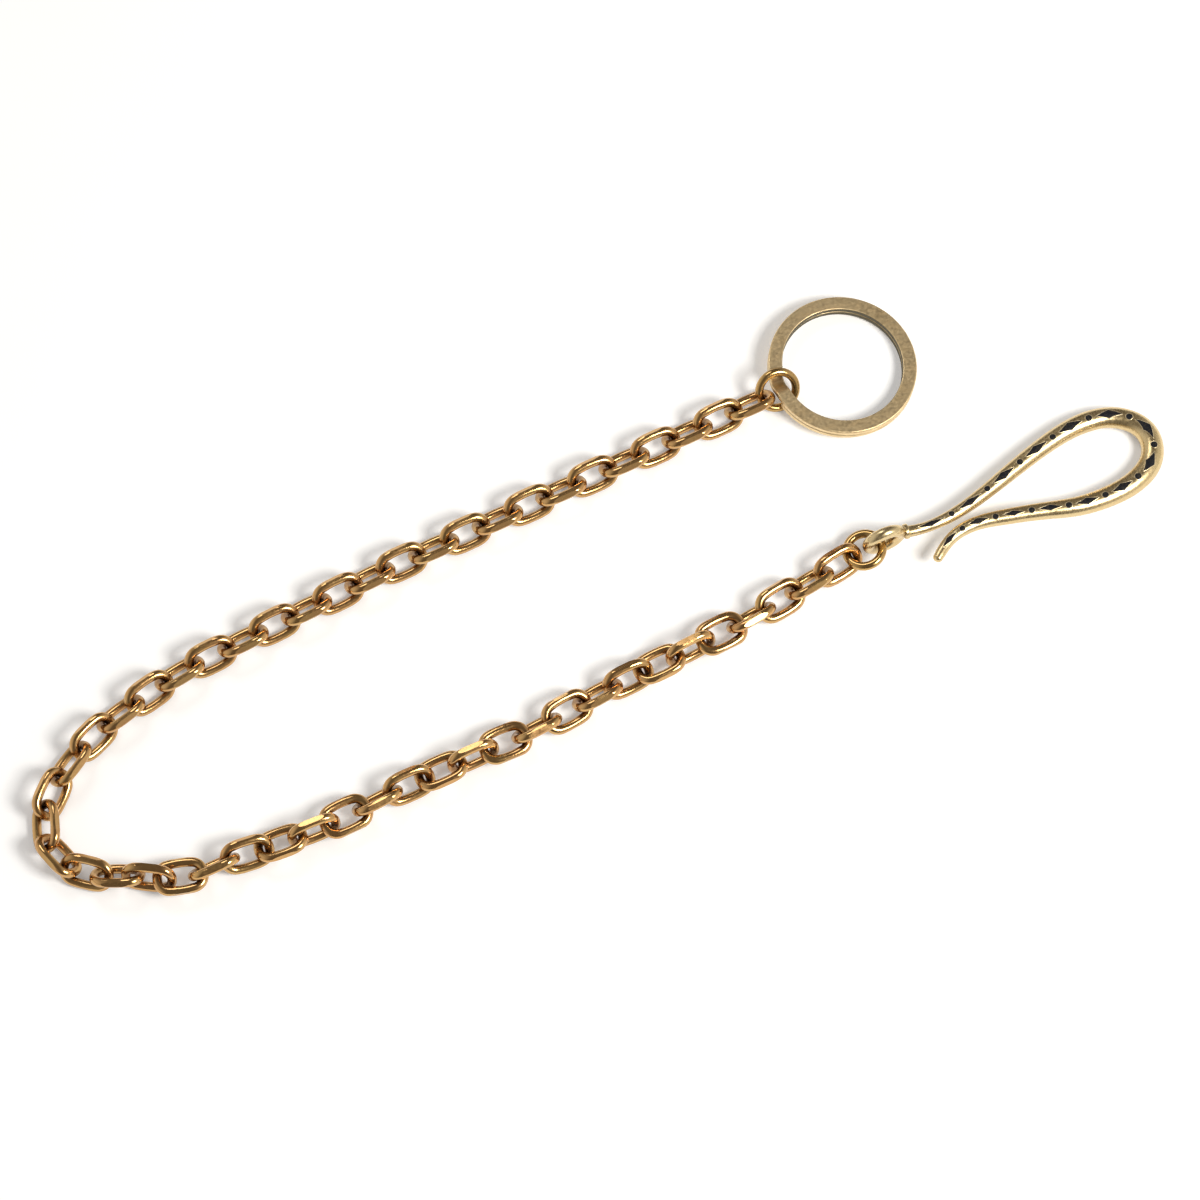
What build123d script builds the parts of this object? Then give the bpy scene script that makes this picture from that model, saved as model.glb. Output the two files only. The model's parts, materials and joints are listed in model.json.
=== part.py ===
from build123d import *
import math
import os

# A pocket watch chain lying on a table: split key ring, jump ring, 51 faceted curb-less oval links,
# second jump ring and a cast hook with an upright eye.  All sizes in millimetres, angles in degrees.

# ---- driving sizes ----
LINK_LENGTH = 11.6        # outside, along the chain
LINK_WIDTH = 7.5          # outside, across the flats
WIRE = 2.0                # link wire diameter
CROWN_FLAT = 0.6          # straight length of wire at each end of a link
LEG_BOW = 0.18            # how far the long sides bow outwards
FLAT_CUT = 0.22           # depth of the flat cut along each long side
BEVEL_CUT = 0.06          # depth of the two bevels beside each flat
GAP = 0.14                # air between two linked wires
LINK_COUNT = 51

KEY_OD = 32.0             # split key ring
KEY_BAND = 3.0            # radial width of its band
KEY_LAYER = 1.35          # height of one turn
KEY_SLIT = 0.12           # air between the two turns
KEY_EDGE = 0.28           # rounding of the band's edges
JOGGLE_HALF = 9.0         # half the angle over which the wire steps up one turn
JOGGLE_AIR = 3.0          # angle between the step and each cut end

RING1_OD = 10.0           # jump ring at the key ring
RING1_WIRE = 1.8
RING2_OD = 9.5            # jump ring at the hook
RING2_WIRE = 1.85

EYE_OD = 9.8              # the hook's eye
EYE_WIRE = 2.6
COLLAR_D = 3.3
COLLAR_LENGTH = 1.1
HOOK_DEPTH = 0.94         # height of the hook's section over its width
# hook centre line from the eye round the bend to the tip: along, across, section width
HOOK_LINE = [
    (4.4, 0.0, 2.3), (12.0, -0.7, 2.5), (21.0, 0.9, 3.0), (31.0, 4.1, 3.6), (41.0, 7.2, 4.0),
    (50.0, 8.7, 4.4), (57.5, 7.2, 4.6), (61.9, 2.4, 4.8), (61.2, -3.2, 4.9), (56.6, -7.0, 4.9),
    (49.0, -8.6, 4.6), (41.0, -8.2, 4.2), (33.5, -6.4, 3.7), (26.0, -4.8, 3.4), (19.5, -3.9, 3.0),
    (14.8, -4.5, 2.7), (11.4, -6.1, 2.4), (8.9, -8.0, 2.1),
]
HOOK_STEPS = 32           # sections along the bar

# ---- how the chain lies ----
# headings seen from above, travelling from the key ring to the hook: (number of links, heading)
ROUTE = [
    (12, 206), (6, 208), (1, 213), (1, 217), (1, 219), (1, 227), (1, 236), (1, 248),
    (1, 276), (1, 312), (1, 346), (1, 359), (1, 354), (1, 9), (1, 25), (1, 20), (1, 19), (1, 23),
    (1, 27), (1, 29), (1, 26), (1, 24), (1, 25), (1, 24), (1, 29), (1, 31), (1, 30), (1, 27),
    (1, 26), (2, 28), (1, 31), (3, 33),
]
# roll of each link about its own length; plus lifts the side on the right hand of the travel
# the first 28 links alternate, the rest lie more freely
FREE_FROM = 29
FREE_ROLLS = [
    -66, 0, 66, -45, 22, -75, -8, 60, -50, 20, -75, -8,
    60, -30, 50, -55, 18, -75, -8, 60, -35, 50, -50,
]
SLACK = {24: 0.06, 25: 0.14, 26: 0.12, 27: 0.9, 28: 0.9, 29: 0.9,
         30: 0.24, 34: 0.24}      # extra play after these links
FREE_SLACK = 0.16         # play at every joint of the freely lying part
RING1_TILT = 46.0         # the key-ring jump ring stands at this angle to the table
RING1_SIDE = 12.0         # where the first link takes hold of it
RING1_BEYOND = 0.65       # its centre lies this far outside the band's middle
KEY_BEARING = 22.5        # from the jump ring to the key ring's centre
RING2_ROLL = 10.0         # roll of the hook's jump ring
EYE_LOW = 0.7             # the jump ring sits this far below the eye's centre
RING2_HEADING = 27.0      # from the last link through the jump ring
HOOK_HEADING = 22.5       # from the eye along the hook
EYE_PLAY = 0.5            # slack between the jump ring and the eye


# ---- small vector helpers ----
def add(a, b, k=1.0):
    return tuple(p + k * q for p, q in zip(a, b))


def mul(a, k):
    return tuple(p * k for p in a)


def dot(a, b):
    return sum(p * q for p, q in zip(a, b))


def cross(a, b):
    return (a[1] * b[2] - a[2] * b[1], a[2] * b[0] - a[0] * b[2], a[0] * b[1] - a[1] * b[0])


def unit(a):
    n = math.sqrt(dot(a, a))
    return tuple(p / n for p in a)


def flat_dir(heading, rise=0.0):
    h, r = math.radians(heading), math.radians(rise)
    return (math.cos(h) * math.cos(r), math.sin(h) * math.cos(r), math.sin(r))


def rolled(u, roll):
    """The two cross directions of a piece that runs along u: its width and its normal."""
    right = unit(cross(u, (0, 0, 1)))
    up = cross(right, u)
    c, s = math.cos(math.radians(roll)), math.sin(math.radians(roll))
    width = add(mul(right, c), up, s)
    return width, cross(u, width)


def at(centre, u, normal):
    """Location of a piece built at the origin with its length along X and its normal along Z."""
    return Location(Plane(origin=centre, x_dir=u, z_dir=normal))


# ---- derived link sizes ----
CROWNS = LINK_LENGTH - WIRE                       # between the wire centres of the two ends
LEGS = LINK_WIDTH + 2 * FLAT_CUT - WIRE           # between the wire centres of the two sides
REACH = WIRE + GAP                                # between the wire centres of two linked crowns


# ---- solids, each built at the origin ----
def oval_link():
    """Closed wire oval: straight crown, corner arc, bowed side, and so on, cut flat along its sides."""
    r = WIRE / 2
    half_l, half_w, s = CROWNS / 2, LEGS / 2, CROWN_FLAT / 2
    r1 = half_w - s - LEG_BOW
    turn = 90 - 2 * math.degrees(math.atan2(LEG_BOW, half_l - r1))
    r2 = r1 + (half_l - r1) / math.cos(math.radians(turn))
    # one side: a bowed leg between two corner arcs that start where the wire runs across the link
    c, q = math.cos(math.radians(turn)), math.sin(math.radians(turn))
    end = Plane(origin=(r2 * c, r2 - half_w - r2 * q, 0), x_dir=(c, -q, 0), z_dir=(-q, -c, 0)) * Circle(r)
    side = revolve(end, Axis((0, r2 - half_w, 0), (0, 0, -1)), 180 - 2 * turn)
    crowns = []
    for sx in (1, -1):
        start = Plane(origin=(sx * half_l, -s, 0), z_dir=(0, 1, 0)) * Circle(r)
        side += revolve(start, Axis((sx * (half_l - r1), -s, 0), (0, 0, -sx)), turn)
        crowns.append(extrude(start, amount=2 * s))
    # cut the flats: keep what lies in a prism along the link
    y_flat = LINK_WIDTH / 2
    lean = (r - BEVEL_CUT) * math.sqrt(2)
    z_flat = lean - (y_flat - half_w)
    y_in = half_w + lean - 1.6 * r
    outline = [(y_flat, -z_flat), (y_flat, z_flat), (y_in, 1.6 * r), (-y_in, 1.6 * r),
               (-y_flat, z_flat), (-y_flat, -z_flat), (-y_in, -1.6 * r), (y_in, -1.6 * r)]
    side &= extrude(Plane.YZ * make_face(Polyline(*outline, close=True)), amount=LINK_LENGTH, both=True)
    return side + crowns[0] + crowns[1] + Rot(0, 0, 180) * side


def wire_ring(outside, wire):
    circle = Plane.XZ * Pos((outside - wire) / 2, 0) * Circle(wire / 2)
    return revolve(circle, Axis.Z, 360)


def split_ring():
    """Two flat turns, one above the other, joined where the wire steps from the lower to the upper.
    The step is centred on the -X side; the upper turn's cut end is on its clockwise side."""
    mid = (KEY_OD - KEY_BAND) / 2
    level = (KEY_LAYER + KEY_SLIT) / 2

    def section(angle, z):
        c, s = math.cos(math.radians(angle)), math.sin(math.radians(angle))
        here = Plane(origin=(mid * c, mid * s, z), x_dir=(c, s, 0), z_dir=(s, -c, 0))
        return here * RectangleRounded(KEY_BAND, KEY_LAYER, KEY_EDGE)

    a, b = JOGGLE_HALF, JOGGLE_HALF + JOGGLE_AIR
    turn = Axis((0, 0, 0), (0, 0, 1))
    lower = revolve(section(180 + b, -level), turn, 360 - a - b)
    upper = revolve(section(180 + a, level), turn, 360 - a - b)
    steps = []
    for n in range(13):
        f = n / 12
        rise = f * f * f * (10 - 15 * f + 6 * f * f)
        steps.append(section(180 - a + 2 * a * f, level * (2 * rise - 1)))
    return lower + loft(steps) + upper


def hook_bar():
    """Points along the hook's bar: place, direction and section width, evenly spread."""
    curve = Spline(*[(x, y, 0) for x, y, w in HOOK_LINE])
    at_point = [curve.param_at_point((x, y, 0)) for x, y, w in HOOK_LINE]
    at_point[0], at_point[-1] = 0.0, 1.0
    out = []
    for n in range(HOOK_STEPS + 1):
        t = n / HOOK_STEPS
        k = max(i for i in range(len(at_point) - 1) if at_point[i] <= t + 1e-9)
        f = (t - at_point[k]) / (at_point[k + 1] - at_point[k])
        w = HOOK_LINE[k][2] * (1 - f) + HOOK_LINE[k + 1][2] * f
        p, d = curve.position_at(t), curve.tangent_at(t)
        out.append(((p.X, p.Y, 0.0), (d.X, d.Y, 0.0), w))
    return out


def hook():
    """Eye in the upright plane through the shank, collar, and a round bar of changing width."""
    eye = revolve(Plane.XY * Pos((EYE_OD - EYE_WIRE) / 2, 0) * Circle(EYE_WIRE / 2), Axis.Y, 360)
    bar = hook_bar()
    profiles = [Plane(origin=p, x_dir=(-d[1], d[0], 0), z_dir=d) * Ellipse(w / 2, w * HOOK_DEPTH / 2)
                for p, d, w in bar]
    p, d, w = bar[-1]
    dome = scale(Sphere(w / 2 * 0.998), by=(0.9, 1, HOOK_DEPTH))
    tip = Pos(*p) * Rot(0, 0, math.degrees(math.atan2(d[1], d[0]))) * dome
    place = Plane(origin=(EYE_OD / 2 + 0.15, -0.05, 0), z_dir=(1, -0.1, 0))
    collar = fillet((place * Cylinder(COLLAR_D / 2, COLLAR_LENGTH)).edges(), 0.35)
    return eye + loft(profiles) + tip + collar


# ---- where everything lies ----
def layout():
    """Frames of every piece: name -> (centre, along, width, normal), and the hinges."""
    headings = [float(h) for count, h in ROUTE for _ in range(count)]
    rolls = [45.0 if n % 2 == 0 else -45.0 for n in range(1, FREE_FROM)] + [float(r) for r in FREE_ROLLS]
    n = LINK_COUNT
    tall = [WIRE / 2 + LEGS / 2 * abs(math.sin(math.radians(r))) for r in rolls]
    turns = [(headings[i + 1] - headings[i] + 180) % 360 - 180 for i in range(n - 1)]
    reach = [REACH / math.cos(math.radians(t / 2)) + SLACK.get(i + 1, FREE_SLACK if i >= FREE_FROM else 0)
             for i, t in enumerate(turns)]
    # joint heights, so that no link goes under the table
    height = [tall[0]] + [max(tall[i], tall[i + 1]) for i in range(n - 1)] + [tall[-1]]
    gaps = [(WIRE + RING1_WIRE) / 2 + GAP + 0.05] + reach + [(WIRE + RING2_WIRE) / 2 + GAP]
    node = [(0.0, 0.0, height[0])]
    frames = {}
    order = ["link_%02d" % (i + 1) for i in range(n)]
    for i in range(n):
        span = CROWNS - (gaps[i] + gaps[i + 1]) / 2
        rise = math.degrees(math.asin((height[i + 1] - height[i]) / span))
        u = flat_dir(headings[i], rise)
        here = node[-1]
        there = add(here, u, span)
        width, normal = rolled(u, rolls[i])
        centre = add(here, u, span / 2 + (gaps[i + 1] - gaps[i]) / 4)
        frames[order[i]] = (centre, u, width, normal)
        node.append(there)

    # jump ring at the key ring: leans over the band, first link at RING1_SIDE round from the outward radius
    r_mid = (RING1_OD - RING1_WIRE) / 2
    out = flat_dir(KEY_BEARING + 180)
    north = (out[1], -out[0], 0.0)
    lean = math.radians(RING1_TILT)
    w = add(mul(north, math.cos(lean)), (0, 0, 1), math.sin(lean))
    side = math.radians(RING1_SIDE)
    grip = add(mul(out, math.cos(side)), w, -math.sin(side))
    u1 = frames["link_01"][1]
    crown1 = add(frames["link_01"][0], u1, -CROWNS / 2)
    wire1 = add(crown1, unit(add(mul(u1, 1.0), grip, 1.0)), gaps[0])
    c1 = add(wire1, grip, -r_mid)
    c1 = (c1[0], c1[1], RING1_WIRE / 2 + r_mid * math.sin(lean))
    frames["ring_jump_ring"] = (c1, out, w, cross(out, w))

    # key ring: its band passes through the jump ring's middle, its far side rests on the table
    mid = (KEY_OD - KEY_BAND) / 2
    thick = KEY_LAYER + KEY_SLIT / 2
    dip = math.asin((c1[2] - thick) / (2 * mid))
    for _ in range(3):
        dip = math.asin((c1[2] - thick * math.cos(dip) - KEY_BAND / 2 * math.sin(dip)) / (2 * mid))
    inward = flat_dir(KEY_BEARING, -math.degrees(dip))
    ck = add(c1, inward, mid + RING1_BEYOND)
    across = unit(cross((0, 0, 1), inward))
    frames["key_ring"] = (ck, inward, across, cross(inward, across))

    # jump ring at the hook: rises from the last link into the eye
    r_mid2 = (RING2_OD - RING2_WIRE) / 2
    last = frames[order[-1]]
    crown2 = add(last[0], last[1], CROWNS / 2)
    rise2 = math.degrees(math.asin((EYE_OD / 2 - EYE_LOW - crown2[2]) / (2 * r_mid2)))
    u2 = flat_dir(RING2_HEADING, rise2)
    wire2 = add(crown2, unit(add(last[1], u2)), -gaps[-1])
    c2 = add(wire2, u2, r_mid2)
    width2, normal2 = rolled(u2, RING2_ROLL)
    frames["hook_jump_ring"] = (c2, u2, width2, normal2)

    # hook: eye stands on the table, the widest part of the bend rests on it
    ring_e = (EYE_OD - EYE_WIRE) / 2
    link_e = (RING2_WIRE + EYE_WIRE) / 2 + GAP + EYE_PLAY
    far = max(HOOK_LINE, key=lambda p: p[0])
    dip = math.asin((EYE_OD / 2 - far[2] * HOOK_DEPTH / 2) / far[0])
    u3 = flat_dir(HOOK_HEADING, -math.degrees(dip))
    ce = add(c2, unit(add(flat_dir(HOOK_HEADING), u2)), r_mid2 + ring_e - link_e)
    ce = (ce[0], ce[1], EYE_OD / 2)
    width3 = unit(cross((0, 0, 1), u3))
    frames["hook"] = (ce, u3, width3, cross(u3, width3))
    return frames


SHAPES = {"key_ring": split_ring, "ring_jump_ring": lambda: wire_ring(RING1_OD, RING1_WIRE),
          "hook_jump_ring": lambda: wire_ring(RING2_OD, RING2_WIRE), "hook": hook}


def build():
    frames = layout()
    solids = {}
    link = oval_link()
    for name, (centre, u, width, normal) in frames.items():
        shape = link if name.startswith("link_") else SHAPES[name]()
        solids[name] = shape.moved(at(centre, u, normal))
    # the whole stands on z = 0 with the middle of its outline at the origin
    boxes = [s.bounding_box() for s in solids.values()]
    low = [min(getattr(b.min, k) for b in boxes) for k in "XYZ"]
    high = [max(getattr(b.max, k) for b in boxes) for k in "XYZ"]
    shift = (-(low[0] + high[0]) / 2, -(low[1] + high[1]) / 2, -low[2])
    return {k: s.moved(Location(shift)) for k, s in solids.items()}, shift


if __name__ == "__main__":
    os.makedirs("parts", exist_ok=True)
    pieces, _ = build()
    for name, solid in pieces.items():
        export_step(solid, "parts/%s.step" % name)
        print(name, "%.2f mm3" % solid.volume)
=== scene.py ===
import bpy
import json
import math
import random
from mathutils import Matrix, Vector
from mathutils.bvhtree import BVHTree


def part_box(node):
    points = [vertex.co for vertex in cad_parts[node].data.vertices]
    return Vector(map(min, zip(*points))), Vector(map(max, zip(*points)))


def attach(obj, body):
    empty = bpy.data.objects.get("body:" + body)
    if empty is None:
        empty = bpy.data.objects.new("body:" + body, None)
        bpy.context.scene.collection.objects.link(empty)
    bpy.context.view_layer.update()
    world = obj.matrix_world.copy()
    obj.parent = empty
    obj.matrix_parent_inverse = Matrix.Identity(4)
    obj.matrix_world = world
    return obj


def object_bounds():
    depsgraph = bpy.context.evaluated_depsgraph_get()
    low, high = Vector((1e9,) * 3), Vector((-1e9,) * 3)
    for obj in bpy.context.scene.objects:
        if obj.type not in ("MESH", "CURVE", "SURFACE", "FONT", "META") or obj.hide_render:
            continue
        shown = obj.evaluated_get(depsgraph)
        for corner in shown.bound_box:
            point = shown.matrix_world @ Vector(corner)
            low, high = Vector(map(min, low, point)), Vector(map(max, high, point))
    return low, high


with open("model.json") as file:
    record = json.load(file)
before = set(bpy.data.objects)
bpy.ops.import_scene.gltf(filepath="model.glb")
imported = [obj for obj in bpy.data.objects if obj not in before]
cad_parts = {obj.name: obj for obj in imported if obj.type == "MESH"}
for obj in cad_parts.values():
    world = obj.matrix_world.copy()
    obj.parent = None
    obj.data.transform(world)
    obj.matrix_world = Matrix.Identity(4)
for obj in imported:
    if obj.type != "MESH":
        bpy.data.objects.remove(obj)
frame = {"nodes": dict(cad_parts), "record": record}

random.seed(7)
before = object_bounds()
nodes = frame["nodes"]
lo, hi = before
centre, span = (lo + hi) / 2, hi - lo

HOOK_HEIGHT = 9.8         # of the hook's box in millimetres, to within half a per cent
hook_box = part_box("hook")
unit = (hook_box[1].z - hook_box[0].z) / HOOK_HEIGHT      # very nearly one millimetre


# ---------- materials ----------
MIX_FACTOR, MIX_A, MIX_B, MIX_COLOUR = 0, 6, 7, 2         # sockets of a Mix node set to colours
GRAIN_STRETCH = 0.12      # scale along the grain, against 1 across it
GRAIN_BEARING = 24        # of the brushed lines on the key ring, in degrees
DRIFT, WAVES, SPECKS, WEAR, LINES = 170, 300, 1500, 1700, 1700     # scale of each noise, finer as it grows
CREVICE_SHADE_REACH = 1.9       # how far from another surface the painted crevice shade reaches, in millimetres


def put(node, name, value):
    """Set one input of a shader node by name."""
    socket = node.inputs[name]
    if hasattr(socket.default_value, "__len__") and not isinstance(value, (int, float)):
        socket.default_value = value if len(value) == len(socket.default_value) else (*value, 1)
    else:
        socket.default_value = value


class Nodes:
    """A material's node tree, with short calls for the nodes used below."""

    def __init__(self, name):
        self.mat = bpy.data.materials.new(name)
        self.mat.use_nodes = True
        self.new, self.link = self.mat.node_tree.nodes.new, self.mat.node_tree.links.new
        self.main = self.mat.node_tree.nodes["Principled BSDF"]

    def wire(self, value, socket):
        """Give a socket a number, a colour or the output of another node."""
        if isinstance(value, (int, float)):
            socket.default_value = value
        elif isinstance(value, tuple):
            socket.default_value = (*value, 1)
        else:
            self.link(value, socket)

    def noise(self, scale, detail=3.0, rough=0.5, grain=None):
        """Noise in object space; with grain, fine lines that run at that bearing across the flat."""
        place = self.new("ShaderNodeTexCoord").outputs["Object"]
        if grain is not None:
            turn = self.new("ShaderNodeVectorRotate")
            turn.rotation_type = "Z_AXIS"
            put(turn, "Angle", -math.radians(grain))
            self.link(place, turn.inputs["Vector"])
            stretch = self.new("ShaderNodeMapping")
            put(stretch, "Scale", (GRAIN_STRETCH, 1, 1))
            self.link(turn.outputs["Vector"], stretch.inputs["Vector"])
            place = stretch.outputs["Vector"]
        cloud = self.new("ShaderNodeTexNoise")
        put(cloud, "Scale", scale)
        put(cloud, "Detail", detail)
        put(cloud, "Roughness", rough)
        self.link(place, cloud.inputs["Vector"])
        return cloud.outputs["Fac"]

    def ramp(self, value, a, b, low=0.0, high=1.0):
        """Stretch a value from the range a to b onto the range low to high."""
        node = self.new("ShaderNodeMapRange")
        for name, v in (("From Min", a), ("From Max", b), ("To Min", low), ("To Max", high)):
            put(node, name, v)
        self.link(value, node.inputs["Value"])
        return node.outputs["Result"]

    def mix(self, factor, a, b):
        """Colour a where the factor is 0, b where it is 1."""
        node = self.new("ShaderNodeMix")
        node.data_type = "RGBA"
        for key, v in ((MIX_FACTOR, factor), (MIX_A, a), (MIX_B, b)):
            self.wire(v, node.inputs[key])
        return node.outputs[MIX_COLOUR]

    def maths(self, op, a, b):
        node = self.new("ShaderNodeMath")
        node.operation = op
        self.wire(a, node.inputs[0])
        self.wire(b, node.inputs[1])
        return node.outputs[0]

    def shut(self, reach):
        """How enclosed the surface is: 0 in the open, 1 deep in a crevice. Reach in millimetres."""
        ao = self.new("ShaderNodeAmbientOcclusion")
        ao.samples = 6
        put(ao, "Distance", reach * unit)
        return self.ramp(ao.outputs["AO"], 0.25, 0.9, 1.0, 0.0)

    def inner_wall_shade(self, node):
        """Mask of painted shade: 0.9 on the inner wall of a ring that lies flat, 0 elsewhere."""
        a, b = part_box(node)
        middle, flat_only = ((a.x + b.x) / 2, (a.y + b.y) / 2, 0), (1, 1, 0)
        outward = self.new("ShaderNodeTexCoord").outputs["Object"]
        for op, v in (("SUBTRACT", middle), ("MULTIPLY", flat_only), ("NORMALIZE", None)):
            step = self.new("ShaderNodeVectorMath")
            step.operation = op
            self.link(outward, step.inputs[0])
            if v:
                step.inputs[1].default_value = v
            outward = step.outputs[0]
        dot = self.new("ShaderNodeVectorMath")
        dot.operation = "DOT_PRODUCT"
        self.link(outward, dot.inputs[0])
        self.link(self.new("ShaderNodeNewGeometry").outputs["True Normal"], dot.inputs[1])
        return self.ramp(dot.outputs["Value"], -0.55, -0.9, 0.0, 0.9)

    def bump(self, height, depth):
        """Raise and sink the shading by a height from 0 to 1 times a depth in millimetres."""
        node = self.new("ShaderNodeBump")
        put(node, "Strength", 1.0)
        put(node, "Distance", depth * unit)
        self.wire(height, node.inputs["Height"])
        self.link(node.outputs["Normal"], self.main.inputs["Normal"])


def brass(name, body, red, deep, rough, grime_and_shade, waves=None):
    """Old brass. Its colour drifts between body and red, and deep is the colour of the painted shade in
    each crevice and where parts touch, and of the real dark specks.

    Waves is the depth of the soft unevenness of polished metal. Without it the metal is brushed, as
    on the key ring, with painted shade on its inner wall.
    """
    k = Nodes(name)
    put(k.main, "Metallic", 1.0)
    drift = k.ramp(k.noise(DRIFT), 0.35, 0.68)
    specks = k.ramp(k.noise(SPECKS, 5, 0.6), 0.42, 0.8)
    colour = k.mix(k.maths("MULTIPLY", drift, 0.6), body, red)
    # painted shade: ambient occlusion darkens the colour towards deep in each crevice and where parts
    # touch; the specks added next are real soiling
    crevice_shade = k.maths("MULTIPLY", k.shut(CREVICE_SHADE_REACH), 1.25)
    specks_and_shade = k.maths("ADD", crevice_shade, k.maths("MULTIPLY", specks, 0.14))
    specks_and_shade = k.maths("MINIMUM", k.maths("MULTIPLY", specks_and_shade, grime_and_shade), 0.94)
    brushed = waves is None
    if brushed:
        lines = k.noise(LINES, 5, 0.7, grain=GRAIN_BEARING)
        colour = k.mix(k.ramp(lines, 0.38, 0.64, 0.0, 0.8), body, colour)
        colour = k.mix(k.ramp(lines, 0.42, 0.70, 0.0, 0.5), colour, red)
        # painted shade on the inner wall of the key ring
        specks_and_shade = k.maths("MAXIMUM", specks_and_shade, k.inner_wall_shade("key_ring"))
    # the painted crevice shade and the real specks pull the colour towards deep
    k.link(k.mix(specks_and_shade, colour, deep), k.main.inputs["Base Color"])
    wear = k.noise(WEAR, 4, 0.55)
    dull = k.maths("ADD", k.ramp(wear, 0.3, 0.7, rough * 0.75, rough * 1.3), k.maths("MULTIPLY", specks_and_shade, 0.2))
    if brushed:
        dull = k.maths("ADD", dull, k.ramp(lines, 0.3, 0.7, 0.0, 0.14))
        k.bump(lines, 0.02)
    else:
        k.bump(k.maths("ADD", k.noise(WAVES, 1), k.maths("MULTIPLY", wear, 0.04)), waves)
    k.link(dull, k.main.inputs["Roughness"])
    return k.mat


def enamel(name):
    """Near-black filling of the engraved marks, with a little brass dust left on it."""
    k = Nodes(name)
    black, dust = (0.005, 0.006, 0.010), (0.07, 0.052, 0.03)
    k.link(k.mix(k.ramp(k.noise(2600, 4), 0.5, 0.85), black, dust), k.main.inputs["Base Color"])
    k.link(k.ramp(k.noise(1900, 3), 0.3, 0.7, 0.4, 0.6), k.main.inputs["Roughness"])
    put(k.main, "Specular IOR Level", 0.22)
    k.bump(k.noise(2400, 4), 0.03)
    return k.mat


# grime sets how strongly the painted crevice shade and the real specks darken each brass
CHAIN = brass("chain_brass", (0.60, 0.375, 0.15), (0.60, 0.31, 0.13), (0.11, 0.045, 0.016),
              rough=0.16, grime_and_shade=0.72, waves=0.03)
JUMP = brass("jump_brass", (0.54, 0.355, 0.135), (0.52, 0.30, 0.11), (0.10, 0.05, 0.018),
             rough=0.16, grime_and_shade=0.65, waves=0.02)
RING = brass("ring_brass", (0.82, 0.64, 0.37), (0.60, 0.43, 0.22), (0.055, 0.058, 0.045),
             rough=0.34, grime_and_shade=0.3)
HOOK = brass("hook_brass", (0.69, 0.54, 0.30), (0.65, 0.48, 0.235), (0.16, 0.10, 0.04),
             rough=0.26, grime_and_shade=0.55, waves=0.006)
# the rims are raised in shape, but their paler brass is a painted highlight along the raised edges of the
# marks
RIM_HIGHLIGHT = brass("rim_brass_painted_highlight", (0.80, 0.66, 0.42), (0.74, 0.58, 0.33), (0.20, 0.14, 0.07),
            rough=0.36, grime_and_shade=0.35, waves=0.004)
BLACK = enamel("black_enamel")


def smooth(mesh):
    for face in mesh.polygons:
        face.use_smooth = True


for name, o in nodes.items():
    m = CHAIN if name.startswith("link_") else {"key_ring": RING, "hook": HOOK}.get(name, JUMP)
    o.data.materials.clear()
    o.data.materials.append(m)
    smooth(o.data)


# ---------- marks along the hook ----------
# middle line of the bar in millimetres from the eye's centre: along, to the left, width of the bar
BAR = [
    (4.4, 0.0, 2.3), (12.0, -0.7, 2.5), (21.0, 0.9, 3.0), (31.0, 4.1, 3.6), (41.0, 7.2, 4.0),
    (50.0, 8.7, 4.4), (57.5, 7.2, 4.6), (61.9, 2.4, 4.8), (61.2, -3.2, 4.9), (56.6, -7.0, 4.9),
    (49.0, -8.6, 4.6), (41.0, -8.2, 4.2), (33.5, -6.4, 3.7), (26.0, -4.8, 3.4), (19.5, -3.9, 3.0),
    (14.8, -4.5, 2.7), (11.4, -6.1, 2.4), (8.9, -8.0, 2.1),
]
BAR_STEPS = 12            # pieces of curve between two stations
BAR_HEIGHT = 0.94         # height of the bar's section against its width
LOOP_MOUNT = 52           # from the eye's centre to the mount hook_loop
HEADING = 22.5            # bearing of the hook, seen from above
MARKS = 27                # diamonds and dots by turns, a diamond first and last
FIRST_MARK = 6.3          # from the start of the middle line
LAST_MARK = 4.6           # from its end
WIDE_GAP = 4.9            # from the first mark to the next, before the row is fitted to the bar
GAP_LOSS = 1.1            # how much closer the marks stand towards the tip
RAY_HEIGHT = 9            # over the middle line, clear of the metal
FILL_LIFT = 0.015         # of the black filling, off the metal
FILL_RINGS = (1, 0.66, 0.33)
RIM_PROFILE = ((0.0, 0.008), (0.03, 0.028), (0.09, 0.026), (0.17, -0.02))    # outwards, up
DOT_POINTS = 20
SIDE_POINTS = 8           # along each side of a diamond
SIDE_DENT = 0.10          # how far a diamond's sides curve in, as a share of its width
DOT_LENGTH, DOT_WIDTH, DOT_GROWTH = 1.0, 0.92, 0.10       # growth for each millimetre of the bar's width
LENGTH_SHARE = (1.40, 0.14)    # a diamond's length against its gap at the eye, and its loss by the tip
WIDTH_SHARE = (0.50, 0.17)     # its width against the bar's, in the same way
TIP_SHARE, TIP_FROM = 0.46, 0.9          # the width share of the last diamonds, past this part of the bar
RIM_SPREAD = (0.15, 3)         # along and across, for a diamond's rim


def curve_point(a, b, c, d, t):
    """Point of a Catmull-Rom curve at t between stations b and c."""
    return tuple(0.5 * (2 * q + (r - p) * t + (2 * p - 5 * q + 4 * r - s) * t * t
                        + (3 * q - p - 3 * r + s) * t ** 3) for p, q, r, s in zip(a, b, c, d))


def smooth_line(points):
    """Points of a smooth curve through the stations, with the distance from the start of each."""
    ext = [points[0]] + list(points) + [points[-1]]
    out = []
    for a, b, c, d in zip(ext, ext[1:], ext[2:], ext[3:]):
        out += [curve_point(a, b, c, d, i / BAR_STEPS) for i in range(BAR_STEPS)]
    out.append(points[-1])
    far = [0.0]
    for p, q in zip(out, out[1:]):
        far.append(far[-1] + math.hypot(q[0] - p[0], q[1] - p[1]))
    return out, far


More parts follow.
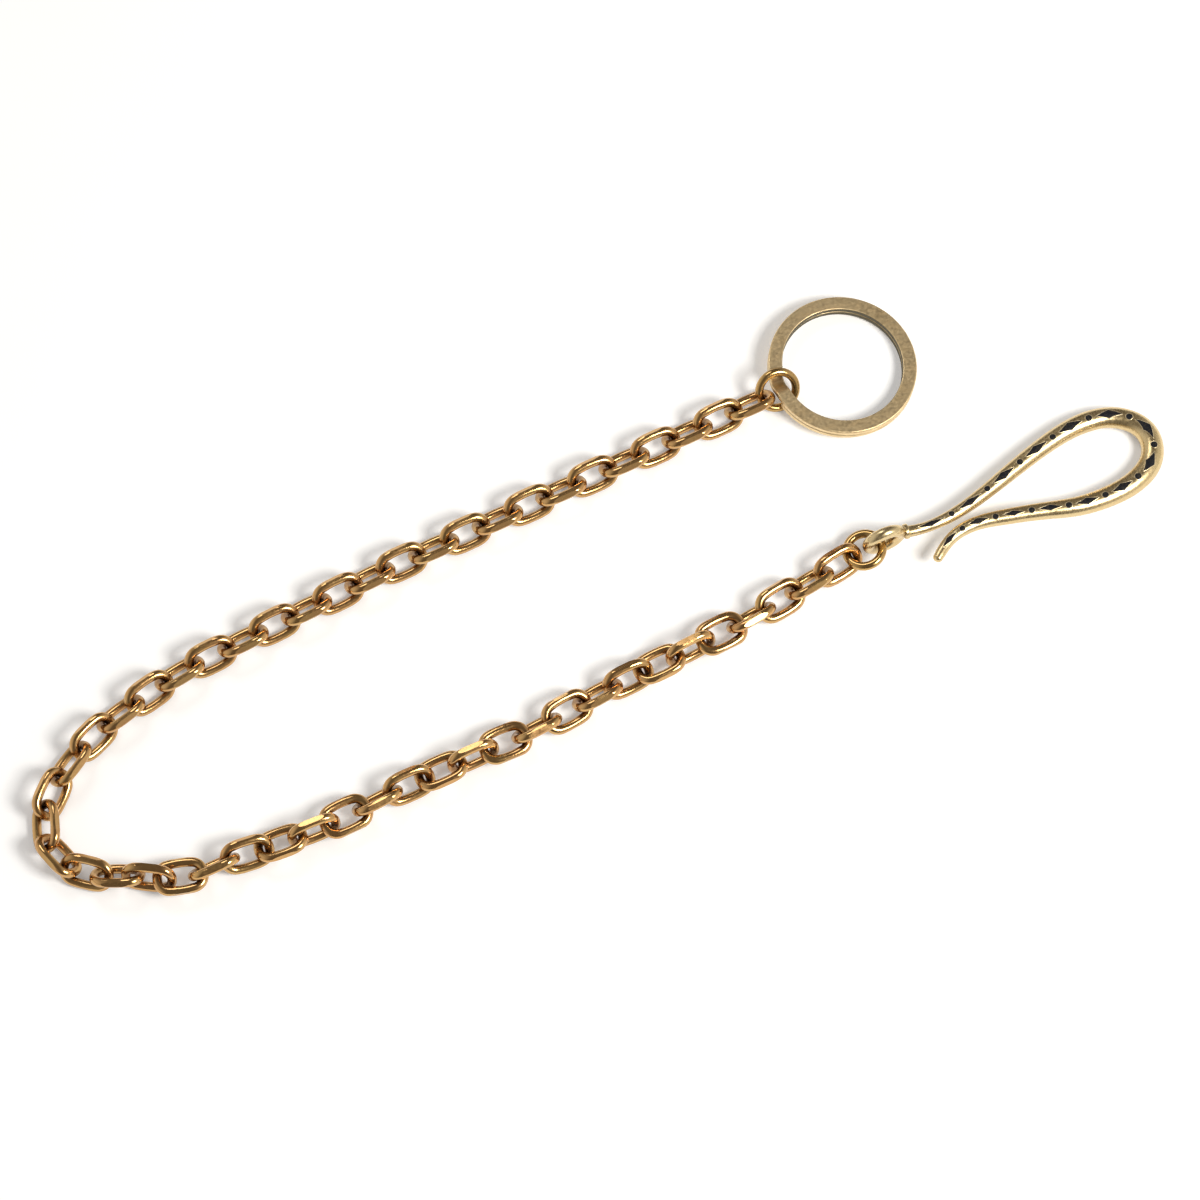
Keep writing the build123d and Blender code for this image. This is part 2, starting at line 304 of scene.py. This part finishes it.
line, far = smooth_line(BAR)
mount = next(m for m in frame["record"]["mounts"] if m["name"] == "hook_loop")
up = Vector(mount["axis"]).normalized()
flat = Vector((math.cos(math.radians(HEADING)), math.sin(math.radians(HEADING)), 0))
ahead = (flat - up * flat.dot(up)).normalized()
left = up.cross(ahead)
start = Vector(mount["pos_m"]) - ahead * LOOP_MOUNT * unit
tree = BVHTree.FromPolygons([v.co.copy() for v in nodes["hook"].data.vertices],
                            [tuple(p.vertices) for p in nodes["hook"].data.polygons])


def on_bar(s):
    """Middle of the bar with its width, and its direction, at s millimetres from the start."""
    s = min(max(s, 0.0), far[-1] - 1e-6)
    k = max(i for i in range(len(far) - 1) if far[i] <= s)
    f = (s - far[k]) / (far[k + 1] - far[k])
    a, b = line[k], line[k + 1]
    d = Vector((b[0] - a[0], b[1] - a[1])).normalized()
    return [x * (1 - f) + y * f for x, y in zip(a, b)], d


def skin(s, q, lift):
    """Point on top of the bar, q millimetres left of its middle, lifted off the metal."""
    (x, y, w), d = on_bar(s)
    p = start + (ahead * (x - d.y * q) + left * (y + d.x * q)) * unit
    hit, normal = tree.ray_cast(p + up * RAY_HEIGHT * unit, -up)[:2]
    if hit is None:
        return p + up * (w / 2 * BAR_HEIGHT + lift) * unit
    if normal.dot(up) < 0:
        normal = -normal
    return hit + normal * lift * unit


def outline(kind, length, width):
    """Closed outline of one mark as (along, across)."""
    if kind == "dot":
        return [(length / 2 * math.cos(a), width / 2 * math.sin(a))
                for a in (math.tau * i / DOT_POINTS for i in range(DOT_POINTS))]
    out = []
    ends = [(1, 0), (0, 1), (-1, 0), (0, -1)]
    for side in range(4):
        (ax, ay), (bx, by) = ends[side], ends[(side + 1) % 4]
        for i in range(SIDE_POINTS):
            f = i / SIDE_POINTS
            dent = 1 - SIDE_DENT * math.sin(math.pi * f)
            out.append(((ax * (1 - f) + bx * f) * length / 2, (ay * (1 - f) + by * f) * width / 2 * dent))
    return out


def ring(pts, bag):
    """Add a closed row of points to a mesh and return their numbers."""
    a = len(bag[0])
    bag[0].extend(pts)
    return list(range(a, a + len(pts)))


def bridge(r0, r1, bag):
    """Join two closed rows of points with four-sided faces."""
    n = len(r0)
    bag[1].extend((r0[i], r0[(i + 1) % n], r1[(i + 1) % n], r1[i]) for i in range(n))


def mark_shape(i, s, gap):
    """Outline of mark number i, at s millimetres from the start, with a gap to the next mark."""
    w = on_bar(s)[0][2]
    if i % 2:
        return outline("dot", DOT_LENGTH + DOT_GROWTH * w, DOT_WIDTH + DOT_GROWTH * w)
    f = s / far[-1]
    near = gap * (LENGTH_SHARE[0] - LENGTH_SHARE[1] * f)
    wide = WIDTH_SHARE[0] - WIDTH_SHARE[1] * f if f < TIP_FROM else TIP_SHARE
    shape = outline("diamond", near * random.uniform(0.96, 1.04), w * wide * random.uniform(0.94, 1.06))
    slant = random.uniform(-0.03, 0.03)
    return [(x, y + x * slant) for x, y in shape]


def outwards(x, y, dot):
    """Direction in which the rim leaves a mark's edge: for a diamond, mostly across the bar."""
    if dot:
        return Vector((x, y)).normalized()
    return Vector((x * RIM_SPREAD[0], y * RIM_SPREAD[1])).normalized()


def marks():
    """The black fillings and the thin rims around them, as two meshes."""
    black, rims = ([], []), ([], [])
    last = far[-1] - LAST_MARK
    steps = [WIDE_GAP - GAP_LOSS * i / (MARKS - 2) for i in range(MARKS - 1)]
    fit = (last - FIRST_MARK) / sum(steps)
    s = FIRST_MARK
    for i in range(MARKS):
        shape = mark_shape(i, s, steps[min(i, MARKS - 2)] * fit)
        rings = [ring([skin(s + x * f, y * f, FILL_LIFT) for x, y in shape], black) for f in FILL_RINGS]
        for r0, r1 in zip(rings, rings[1:]):
            bridge(r0, r1, black)
        mid = ring([skin(s, 0, FILL_LIFT)], black)[0]
        n = len(shape)
        black[1].extend((rings[-1][j], rings[-1][(j + 1) % n], mid) for j in range(n))
        grow = [(x, y, outwards(x, y, i % 2)) for x, y in shape]
        band = [ring([skin(s + x + g.x * out, y + g.y * out, z) for x, y, g in grow], rims)
                for out, z in RIM_PROFILE]
        for r0, r1 in zip(band, band[1:]):
            bridge(r1, r0, rims)
        if i < MARKS - 1:
            s += steps[i] * fit
    return black, rims


for bag, name, m in zip(marks(), ("hook_marks", "hook_mark_rims"), (BLACK, RIM_HIGHLIGHT)):
    mesh = bpy.data.meshes.new(name)
    mesh.from_pydata(bag[0], [], bag[1])
    mesh.materials.append(m)
    smooth(mesh)
    o = bpy.data.objects.new(name, mesh)
    bpy.context.scene.collection.objects.link(o)
    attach(o, "hook")


# ---------- stage ----------
FLOOR_SIZE = 6            # in scene units
FLOOR_DROP = 0.02         # under the object, in millimetres
ROOM_MIDDLE = (0.17, 0.155, 0.14, 1)
ROOM_SIDES = (0.80, 0.78, 0.75, 1)
VIEW_FILL = 0.943         # part of the picture's width that the object's length takes up
CAMERA_HEIGHT = 70        # degrees over the table


def paper():
    """White paper that glows a little, so that it comes out white."""
    k = Nodes("paper")
    tone = k.ramp(k.noise(30), 0.0, 1.0, 0.90, 0.93)
    k.link(tone, k.main.inputs["Base Color"])
    put(k.main, "Roughness", 0.95)
    put(k.main, "Specular IOR Level", 0.0)
    put(k.main, "Emission Color", (0.97, 0.985, 1.0))
    put(k.main, "Emission Strength", 0.20)
    return k.mat


bpy.ops.mesh.primitive_plane_add(size=FLOOR_SIZE, location=(0, 0, lo.z - FLOOR_DROP * unit))
floor = bpy.context.object
floor.name = "floor"
floor.data.materials.append(paper())

# a dim room, brighter to the right and to the left
world = bpy.data.worlds.new("studio")
bpy.context.scene.world = world
world.use_nodes = True
room, join = world.node_tree.nodes, world.node_tree.links.new
light = room["Background"]
split = room.new("ShaderNodeSeparateXYZ")
join(room.new("ShaderNodeTexCoord").outputs["Generated"], split.inputs["Vector"])
side = room.new("ShaderNodeMath")
side.operation = "ABSOLUTE"
join(split.outputs["X"], side.inputs[0])
blend = room.new("ShaderNodeValToRGB")
for stop, place, colour in zip(blend.color_ramp.elements, (0.30, 0.85), (ROOM_MIDDLE, ROOM_SIDES)):
    stop.position, stop.color = place, colour
join(side.outputs[0], blend.inputs["Fac"])
join(blend.outputs["Color"], light.inputs["Color"])
put(light, "Strength", 1.0)


def direction(bearing, height):
    """Direction at a bearing and a height over the table, both in degrees."""
    a, e = math.radians(bearing), math.radians(height)
    return Vector((math.cos(a) * math.cos(e), math.sin(a) * math.cos(e), math.sin(e)))


def aim(o, way, distance):
    """Put an object that way from the middle of the CAD, looking back at it."""
    o.location = centre + way * distance
    o.rotation_mode = "QUATERNION"
    o.rotation_quaternion = way.to_track_quat("Z", "Y")
    bpy.context.scene.collection.objects.link(o)


def lamp(name, bearing, height, reach, size, power, tint):
    """A soft square light; its reach and its size are in lengths of the object."""
    d = bpy.data.lights.new(name, "AREA")
    d.shape, d.size, d.energy, d.color = "SQUARE", size * span.x, power, tint
    aim(bpy.data.objects.new(name, d), direction(bearing, height), reach * span.x)


lamp("key", -28, 48, 3.2, 1.1, 5.0, (1.0, 0.98, 0.94))
lamp("back", 118, 52, 3.4, 1.2, 0.9, (1.0, 0.99, 0.97))

bpy.context.scene.view_settings.view_transform = "Standard"

cam = bpy.data.cameras.new("camera")
cam.lens, cam.sensor_width = 135, 36
cam.shift_x, cam.shift_y = -0.005, -0.0108
cam.clip_start, cam.clip_end = 0.01, 20
eye = bpy.data.objects.new("camera", cam)
tilt = math.radians(CAMERA_HEIGHT)
reach = span.x / VIEW_FILL / 2 / (cam.sensor_width / 2 / cam.lens)
aim(eye, Vector((0, -math.cos(tilt), math.sin(tilt))), reach)
bpy.context.scene.camera = eye
